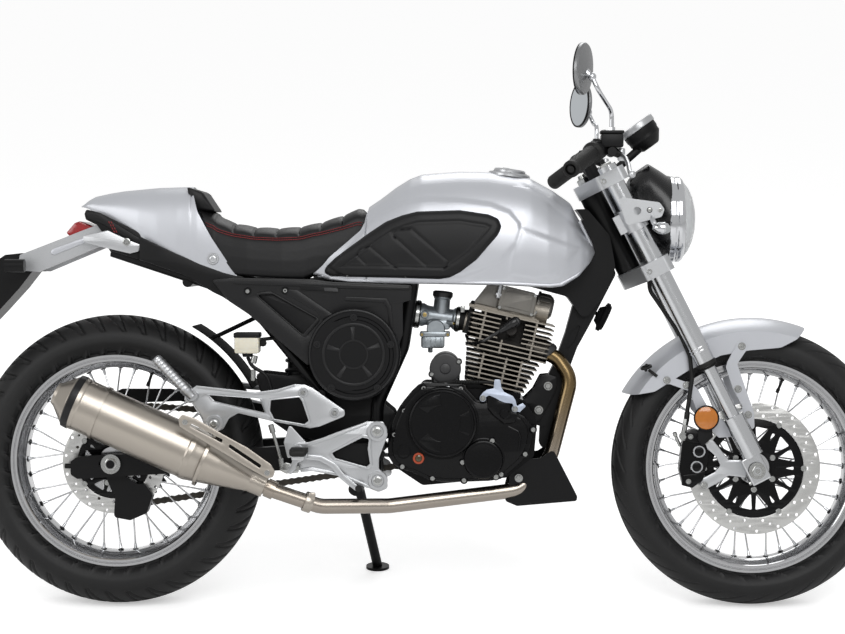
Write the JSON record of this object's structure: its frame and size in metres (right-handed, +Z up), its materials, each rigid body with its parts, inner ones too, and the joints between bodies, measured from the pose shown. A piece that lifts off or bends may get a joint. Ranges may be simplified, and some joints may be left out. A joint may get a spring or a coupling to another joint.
{
  "type": "cafe racer motorcycle",
  "caption": "Cafe racer motorcycle with an air-cooled single, spoked wheels, humped seat and low bars, leaning on its side stand.",
  "frame": {"origin": "middle of the bounding box on the ground", "axes": "+X forward along the bike, +Y to the rider's left, +Z up; the bike leans 10 degrees to +Y"},
  "size_m": [2.0273, 0.7713, 1.2288],
  "materials": {
    "silver_paint": "satin metallic",
    "frame_black": "satin",
    "engine_black": "gloss",
    "cast_alloy": "as cast",
    "silver_alloy": "satin anodised",
    "chrome": "polished",
    "exhaust_steel": "brushed",
    "disc_steel": "ground",
    "chain_steel": "oiled",
    "black_plastic": "satin",
    "brake_black": "satin",
    "seat_vinyl": "grained vinyl",
    "pad_rubber": "matte",
    "tyre_rubber": "matte",
    "red_lens": "gloss",
    "cap_metal": "satin"
  },
  "bodies": {
    "chassis": {"air_box": "black_plastic", "belly_pan": "black_plastic", "carburettor": "cast_alloy", "chain": "chain_steel", "chain_guard": "black_plastic", "clutch_cover": "engine_black", "crankcase": "engine_black", "cylinder_barrel": "cast_alloy", "cylinder_head": "cast_alloy", "exhaust_header": "exhaust_steel", "frame_down_tube": "frame_black", "frame_spine": "frame_black", "frame_uprights": "frame_black", "fuel_tank": "silver_paint", "generator_cover": "engine_black", "horn": "black_plastic", "hump_pad": "seat_vinyl", "inner_guard": "black_plastic", "knee_pads": "pad_rubber", "muffler": "exhaust_steel", "passenger_brackets": "silver_alloy", "plate_holder": "black_plastic", "rear_brake": "brake_black", "rider_brackets": "silver_alloy", "seat": "seat_vinyl", "shock_absorber": "chain_steel", "side_covers": "black_plastic", "subframe": "frame_black", "swingarm": "frame_black", "tail_bracket": "silver_alloy", "tail_cowl": "silver_paint", "tail_lamp": "red_lens", "tank_cap": "cap_metal", "under_tray": "black_plastic"},
    "steering": {"fork_clamps": "silver_alloy", "fork_tubes": "silver_alloy", "fork_lowers": "chrome", "handlebar": "frame_black", "grips": "pad_rubber", "bar_controls": "black_plastic", "mirrors": "chrome", "gauge": "black_plastic", "headlight": "chrome", "headlight_brackets": "silver_alloy", "front_fender": "silver_paint", "front_brake": "brake_black"},
    "front_wheel": {"front_tyre": "tyre_rubber", "front_rim": "silver_alloy", "front_hub": "silver_alloy", "front_disc": "disc_steel"},
    "rear_wheel": {"rear_tyre": "tyre_rubber", "rear_rim": "silver_alloy", "rear_hub": "silver_alloy", "rear_disc": "disc_steel"},
    "side_stand": {"side_stand": "frame_black"}
  },
  "joints": [
    {"name": "steering", "type": "hinge", "parent": "chassis", "child": "steering", "pos_m": [0.44364, -0.03649, 0.72604], "axis": [-0.454, 0.1547, 0.8775], "range_deg": [-35, 35]},
    {"name": "front_wheel_spin", "type": "hinge", "parent": "steering", "child": "front_wheel", "pos_m": [0.71169, -0.11185, 0.29862], "axis": [0, 0.9848, -0.1736], "continuous": true},
    {"name": "rear_wheel_spin", "type": "hinge", "parent": "chassis", "child": "rear_wheel", "pos_m": [-0.66331, -0.10959, 0.31143], "axis": [0, 0.9848, -0.1736], "continuous": true},
    {"name": "side_stand_fold", "type": "hinge", "parent": "chassis", "child": "side_stand", "pos_m": [-0.14831, 0.0127, 0.22183], "axis": [0.1626, 0.9341, 0.3179], "range_deg": [0, 100]}
  ]
}
